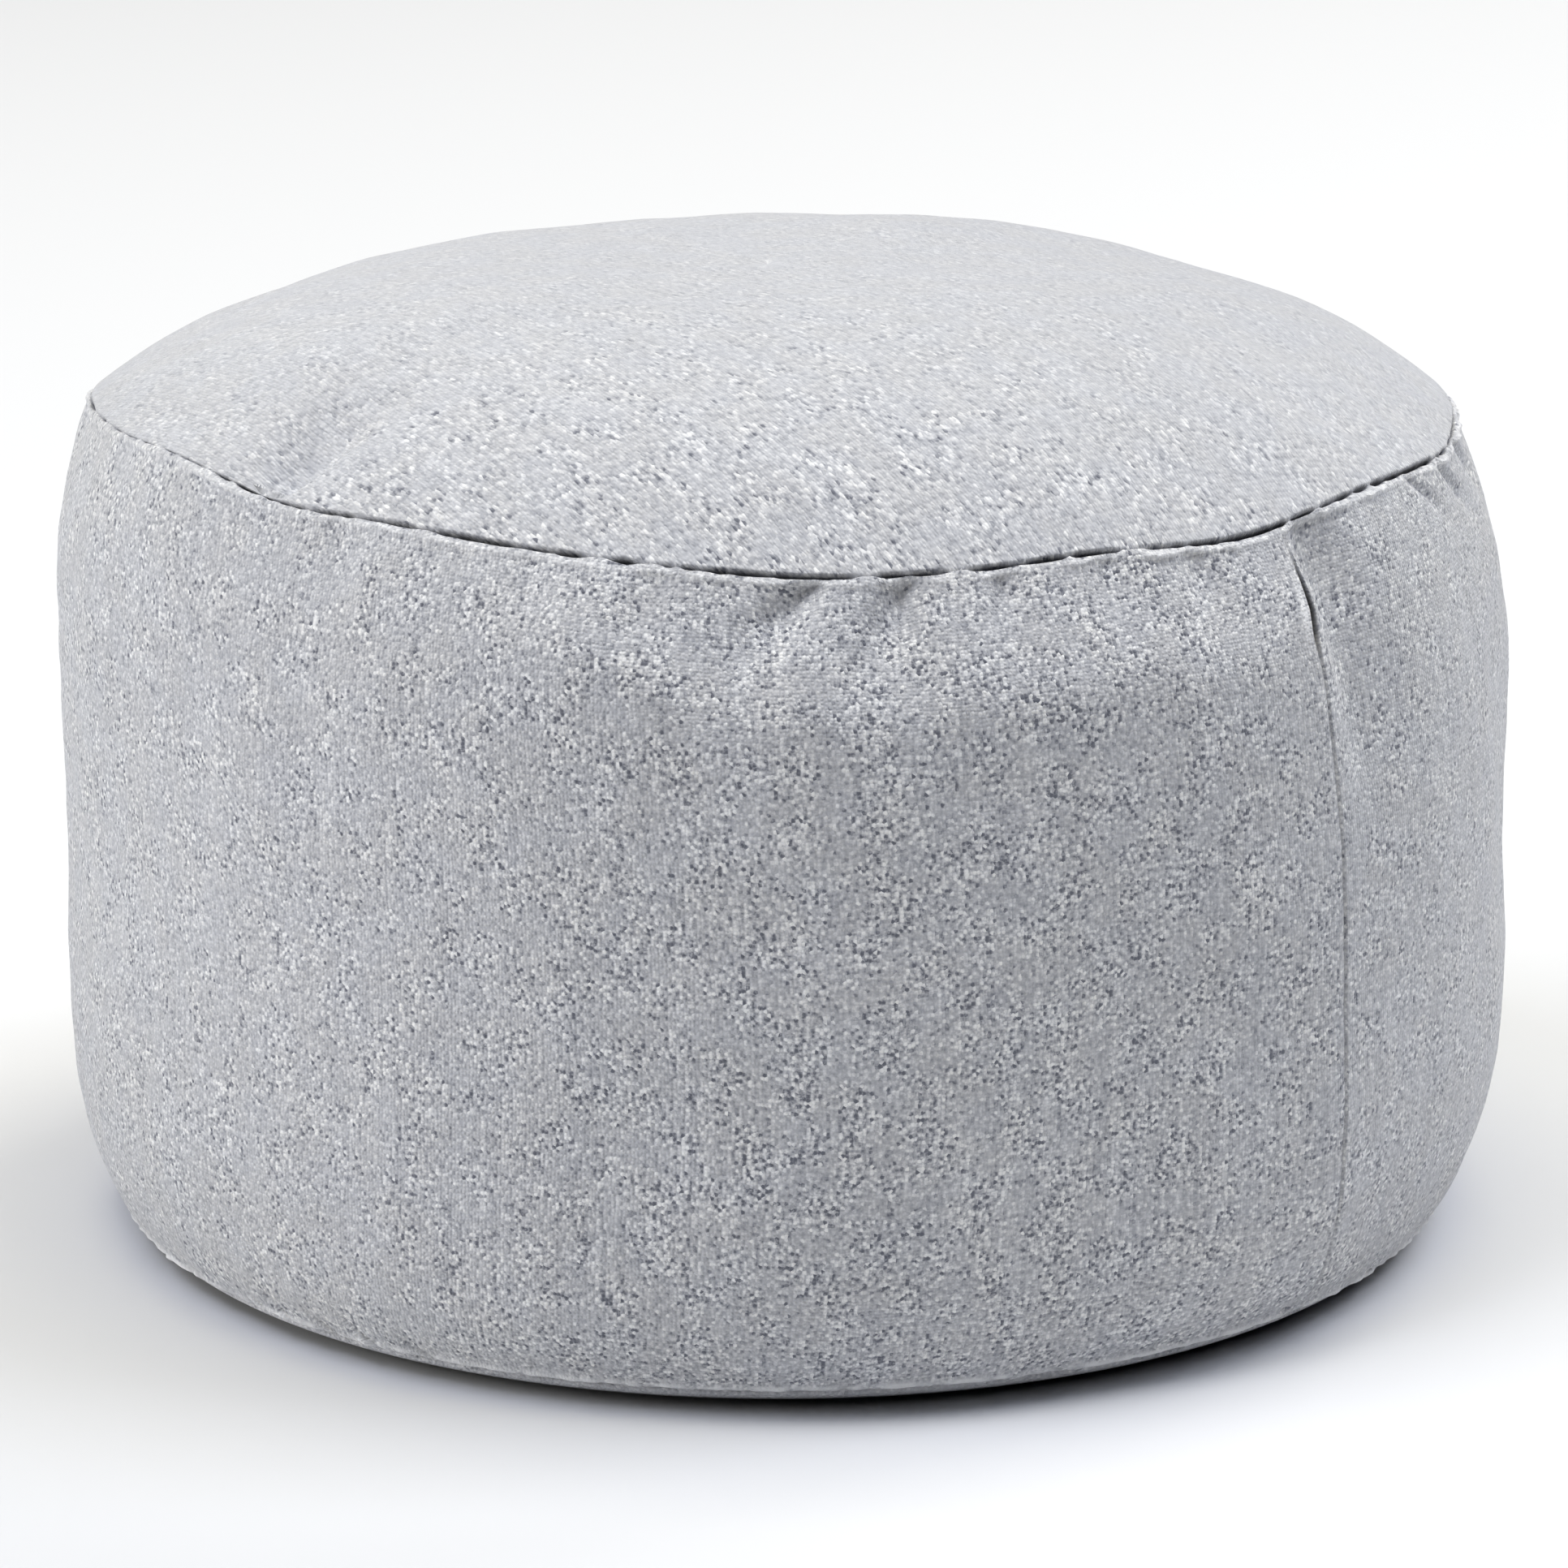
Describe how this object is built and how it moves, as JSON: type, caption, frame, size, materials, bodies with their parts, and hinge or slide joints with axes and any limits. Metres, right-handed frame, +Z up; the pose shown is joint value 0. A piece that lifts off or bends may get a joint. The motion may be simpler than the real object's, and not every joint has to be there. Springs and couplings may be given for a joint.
{
  "type": "bean bag footstool",
  "caption": "Round drum-shaped bean bag footstool with a crowned top, a gathered side band and a flat underside to rest on.",
  "frame": {"origin": "on the floor, under the middle of the footstool", "axes": "+Z up; -Y towards the front, from which the upright seam is seen on the right; +X to that right"},
  "size_m": [0.4982, 0.497, 0.3338],
  "materials": {
    "cover_cloth": "matte light grey heathered weave",
    "base_cloth": "matte light grey heathered weave"
  },
  "bodies": {
    "root": {"top_panel": "cover_cloth", "side_band": "cover_cloth", "base_panel": "base_cloth"}
  },
  "joints": []
}
